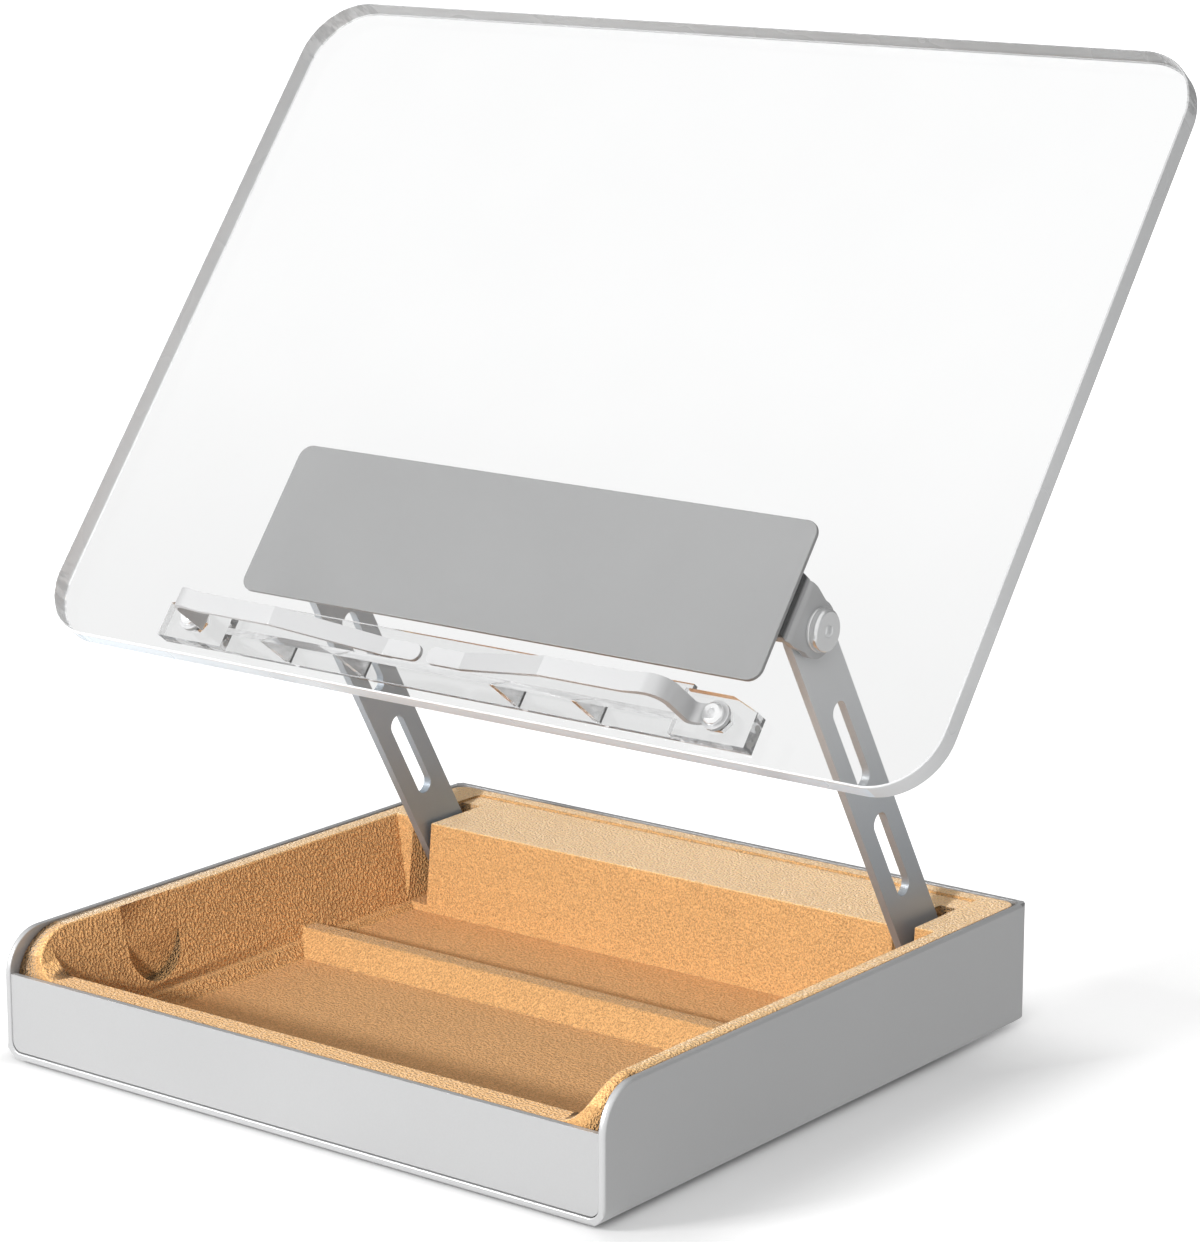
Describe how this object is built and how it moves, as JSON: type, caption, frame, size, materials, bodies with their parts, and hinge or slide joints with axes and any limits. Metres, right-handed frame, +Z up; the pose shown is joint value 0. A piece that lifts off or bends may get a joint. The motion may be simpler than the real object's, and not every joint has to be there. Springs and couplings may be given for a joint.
{
  "type": "folding reading stand",
  "caption": "Folding reading stand: clear tilting panel with page ledge and swinging clips on slotted arms above a lined open tray base.",
  "frame": {"origin": "centre of the overall box on the desk plane, under the feet", "axes": "+X to the right seen from the front, +Y to the rear, +Z up"},
  "size_m": [0.3, 0.195, 0.2714],
  "materials": {
    "shell": "satin anodised",
    "front": "satin anodised",
    "arm": "satin anodised",
    "plate": "satin anodised",
    "liner": "pebbled tan grain",
    "rubber": "matt",
    "pad": "matt",
    "acrylic": "clear polished",
    "clip": "satin anodised",
    "bright_screw": "turned",
    "steel": "zinc plated",
    "nylon": "natural nylon",
    "friction": "black fibre"
  },
  "bodies": {
    "base": {"base_shell": "shell", "front_panel": "front", "panel_screws": "steel", "tray_liner": "liner", "rubber_feet": "rubber", "base_bracket_left": "steel", "base_bracket_right": "steel", "floor_screws": "steel", "base_pin_left": "steel", "base_pin_right": "steel", "thrust_washers": "nylon", "base_nuts": "steel"},
    "arm_l": {"arm_left": "arm"},
    "arm_r": {"arm_right": "arm"},
    "panel": {"acrylic_panel": "acrylic", "back_plate": "plate", "spacer_pad": "pad", "hinge_bracket": "plate", "bracket_screws": "steel", "pivot_screw_left": "bright_screw", "pivot_screw_right": "bright_screw", "pivot_washer_left": "bright_screw", "pivot_washer_right": "bright_screw", "friction_washer_left": "friction", "friction_washer_right": "friction", "inner_washers": "nylon", "lock_nut_left": "steel", "lock_nut_right": "steel", "page_ledge": "acrylic", "clip_screw_left": "bright_screw", "clip_screw_right": "bright_screw", "clip_washers": "nylon", "clip_nuts": "steel"},
    "clip_l": {"clip_left": "clip"},
    "clip_r": {"clip_right": "clip"}
  },
  "joints": [
    {"name": "arm_left_fold", "type": "hinge", "parent": "base", "child": "arm_l", "pos_m": [-0.08445, 0.07021, 0.023], "axis": [1, 0, 0], "range_deg": [-30, 60]},
    {"name": "arm_right_fold", "type": "hinge", "parent": "base", "child": "arm_r", "pos_m": [0.08445, 0.07021, 0.023], "axis": [1, 0, 0], "range_deg": [-30, 60]},
    {"name": "panel_tilt", "type": "hinge", "parent": "arm_l", "child": "panel", "pos_m": [0, 0.00996, 0.12736], "axis": [1, 0, 0], "range_deg": [-112.61, 56.31]},
    {"name": "clip_left_swing", "type": "hinge", "parent": "panel", "child": "clip_l", "pos_m": [-0.0887, -0.03488, 0.11381], "axis": [0, -0.7944, 0.6074], "range_deg": [0, 90]},
    {"name": "clip_right_swing", "type": "hinge", "parent": "panel", "child": "clip_r", "pos_m": [0.0887, -0.03488, 0.11381], "axis": [0, 0.7944, -0.6074], "range_deg": [0, 90]}
  ],
  "couplings": [
    {"joint": "arm_right_fold", "follows": "arm_left_fold", "ratio": 1},
    {"joint": "panel_tilt", "follows": "arm_left_fold", "ratio": -1.8767}
  ]
}
